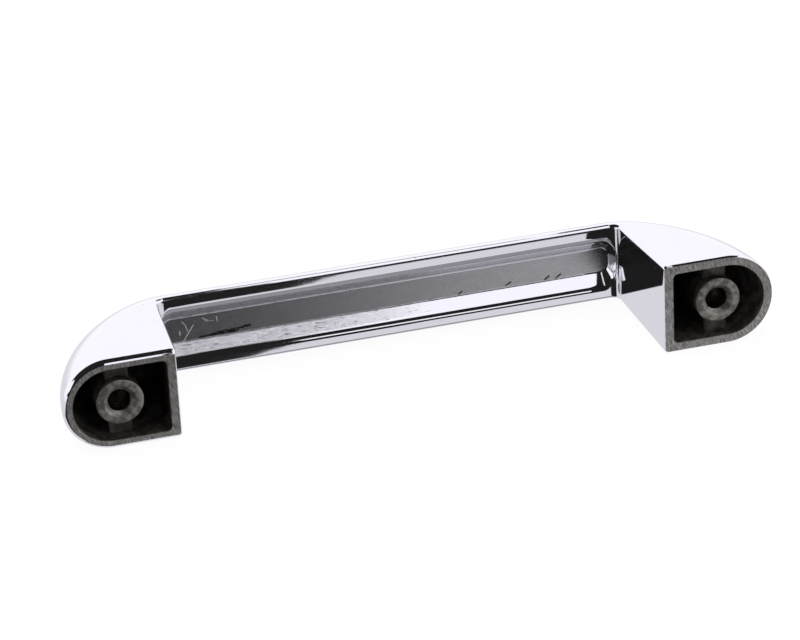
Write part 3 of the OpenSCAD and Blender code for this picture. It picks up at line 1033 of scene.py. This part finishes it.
def hang(name, rows, material):
    """A curved cloth, or the grey card of painted shade, that only reflections see."""
    points, faces = [], []
    steps = [(a, b, k / CLOTH_STEPS) for a, b in zip(rows, rows[1:]) for k in range(CLOTH_STEPS)]
    steps.append((rows[-1], rows[-1], 0))
    for a, b, share in steps:
        turn, low, high = (u + (v - u) * share for u, v in zip(a, b))
        turn = math.radians(turn)
        for k in range(CLOTH_ACROSS + 1):
            x = low + (high - low) * k / CLOTH_ACROSS
            out = math.sqrt(1 - x * x)
            points.append(CLOTH_AWAY * Vector((x, out * math.cos(turn), out * math.sin(turn))))
    wide = CLOTH_ACROSS + 1
    for row in range(len(steps) - 1):
        for k in range(CLOTH_ACROSS):
            i = row * wide + k
            faces.append((i, i + 1, i + wide + 1, i + wide))
    unseen(stage_mesh(name, points, faces, material))


def unseen(card):
    """Leaves a card to reflections alone."""
    card.visible_camera = False
    card.visible_diffuse = False
    card.visible_transmission = False


def cloth(name, code):
    """Dull cloth, as a mirror sees it: one even dark colour. The grey one is painted shade for the paper
    below the handle.
    """
    material = bpy.data.materials.new(name)
    tree = emptied(material)
    glow = add(tree, "ShaderNodeEmission", Color=tuple(code), Strength=1.0)
    add(tree, "ShaderNodeOutputMaterial", Surface=glow)
    return material


def set_world(colours):
    """A white room: plain white to the camera, and to all else a little brighter above than below."""
    world = bpy.data.worlds.new("white_room")
    tree = emptied(world)
    light = add(tree, "ShaderNodeLightPath").outputs
    direct = add(tree, "ShaderNodeMath", LARGER, i0=light["Is Camera Ray"], i1=light["Is Transmission Ray"])
    way = add(tree, "ShaderNodeTexCoord").outputs["Generated"]
    height = add(tree, "ShaderNodeSeparateXYZ", Vector=way).outputs["Z"]
    strength = add(tree, "ShaderNodeMapRange", SMOOTH, Value=height, From_Min=-0.25, From_Max=0.05,
                   To_Min=0.82, To_Max=1.17)
    glare = add(tree, "ShaderNodeBackground", Color=tuple(colours.glare), Strength=strength)
    white = add(tree, "ShaderNodeBackground", Color=tuple(colours.backdrop), Strength=1.0)
    both = add(tree, "ShaderNodeMixShader", i0=direct, i1=glare, i2=white)
    add(tree, "ShaderNodeOutputWorld", Surface=both)
    bpy.context.scene.world = world


def soft_lamp(name, place, target, size, power_w):
    """A wide lamp that lights and shades but shows in no reflection."""
    data = bpy.data.lights.new(name, "AREA")
    data.shape = "RECTANGLE"
    data.size, data.size_y = size
    data.energy = power_w
    data.specular_factor = 0
    lamp = linked(name, data)
    lamp.location = place
    lamp.rotation_euler = (Vector(target) - Vector(place)).to_track_quat("-Z", "Y").to_euler()
    lamp.visible_glossy = False


# The camera that fits the photograph: angles in degrees, lengths in millimetres, and the focal
# length in pixels of an image that is 800 pixels wide.
CAMERA = {
    "azimuth": 165.46, "elevation": 26.29, "roll": -3.03, "distance": 828.9,
    "target": (5.58, 0, 8.94), "focal_px": 3721.0,
}
IMAGE_W = 800
SENSOR_MM = 36


def set_camera():
    """Puts the photograph's camera in the scene."""
    az, el, roll = (math.radians(CAMERA[k]) for k in ("azimuth", "elevation", "roll"))
    back = Vector((math.sin(az) * math.cos(el), -math.cos(az) * math.cos(el), math.sin(el)))
    right = Vector((0, 0, 1)).cross(back).normalized()
    up = back.cross(right)
    turned_right = right * math.cos(roll) + up * math.sin(roll)
    turned_up = up * math.cos(roll) - right * math.sin(roll)
    place = Vector(CAMERA["target"]) * MM + back * CAMERA["distance"] * MM
    turn = Matrix((turned_right, turned_up, back)).transposed()
    data = bpy.data.cameras.new("camera")
    data.sensor_width = SENSOR_MM
    data.sensor_fit = "HORIZONTAL"
    data.lens = CAMERA["focal_px"] * SENSOR_MM / IMAGE_W
    data.clip_start, data.clip_end = 0.01, 50
    camera = linked("camera", data)
    camera.matrix_world = Matrix.Translation(place) @ turn.to_4x4()
    bpy.context.scene.camera = camera


class HANDLE_OT_stage(bpy.types.Operator):
    """Sets the paper floor, the dark cloths, the grey card of painted shade, the kerb, the white room, the
    lamp and the camera.
    """

    bl_idname = "handle.stage"
    bl_label = "Stage"

    def execute(self, context):
        colours = context.scene.handle_finish
        context.scene.view_settings.view_transform = "Standard"
        w, ground = PAPER_HALF, HANDLE_LOW.z - PAPER_GAP
        corners = [(-w, -w, ground), (w, -w, ground), (w, w, ground), (-w, w, ground)]
        paper = stage_mesh("paper", corners, [(0, 1, 2, 3)], paper_floor(colours))
        paper.visible_glossy = False
        black, grey = cloth("black_cloth", colours.black_cloth), cloth("grey_cloth", colours.grey_cloth)
        for name, rows in BLACK_CLOTHS.items():
            hang(name, rows, black)
        # Painted shade: the grey card stands in for the paper in the handle's shade, as the chrome reflects
        # it.
        hang("painted_shade_below", PAINTED_SHADE_BELOW, grey)
        unseen(stage_mesh("kerb", KERB, [(0, 1, 2, 3)], black))
        set_world(colours)
        soft_lamp("lamp_above", (0.1, -0.2, 0.9), (0, 0, 0), (0.8, 0.8), 6)
        set_camera()
        return {"FINISHED"}


class HANDLE_PT_panel(bpy.types.Panel):
    """Lists the steps in the sidebar."""

    bl_idname = "HANDLE_PT_panel"
    bl_label = "Drawer Handle"
    bl_space_type = "VIEW_3D"
    bl_region_type = "UI"
    bl_category = "Handle"

    def draw(self, context):
        for operator in OPERATORS:
            self.layout.operator(operator.bl_idname)
        for group in ("handle_sizes", "handle_thread", "handle_finish"):
            box = self.layout.box()
            settings = getattr(context.scene, group)
            for key in settings.__annotations__:
                box.prop(settings, key)


GROUPS = {
    "handle_sizes": HANDLE_PG_sizes,
    "handle_thread": HANDLE_PG_thread,
    "handle_finish": HANDLE_PG_finish,
}
OPERATORS = [HANDLE_OT_finishes, HANDLE_OT_casting, HANDLE_OT_threads, HANDLE_OT_stage]


def register():
    for cls in (*GROUPS.values(), *OPERATORS, HANDLE_PT_panel):
        bpy.utils.register_class(cls)
    for name, cls in GROUPS.items():
        setattr(bpy.types.Scene, name, PointerProperty(type=cls))


def unregister():
    for name in GROUPS:
        delattr(bpy.types.Scene, name)
    for cls in reversed((*GROUPS.values(), *OPERATORS, HANDLE_PT_panel)):
        bpy.utils.unregister_class(cls)


def main():
    register()
    bpy.ops.handle.finishes()
    bpy.ops.handle.casting()
    bpy.ops.handle.threads()
    bpy.ops.handle.stage()


if __name__ == "__main__":
    main()
